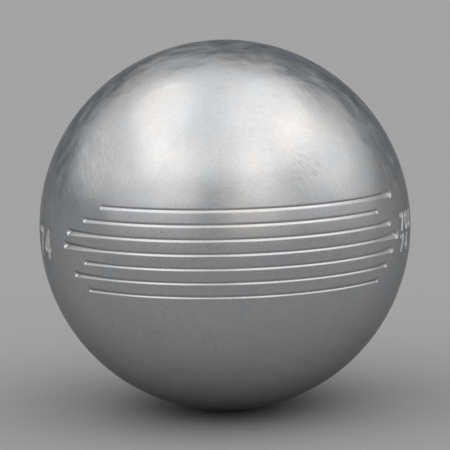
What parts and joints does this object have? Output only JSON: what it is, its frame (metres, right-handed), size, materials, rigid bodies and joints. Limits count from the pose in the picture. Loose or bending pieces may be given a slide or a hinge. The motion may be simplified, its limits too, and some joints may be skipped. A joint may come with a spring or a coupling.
{
  "type": "petanque boule",
  "caption": "Hollow steel petanque boule, welded at the equator from forged half shells, with engraved parallel grooves front and back; thrown by hand at a small target ball.",
  "frame": {"origin": "centre of the ball", "axes": "+Z along the axis that the engraved grooves and the weld run round, with the upper half shell above; -Y towards the middle of the front group of grooves"},
  "size_m": [0.074, 0.074, 0.074],
  "materials": {
    "shell_steel": "satin",
    "weld_steel": "satin"
  },
  "bodies": {
    "root": {"upper_half_shell": "shell_steel", "lower_half_shell": "shell_steel", "weld_seam": "weld_steel"}
  },
  "joints": []
}
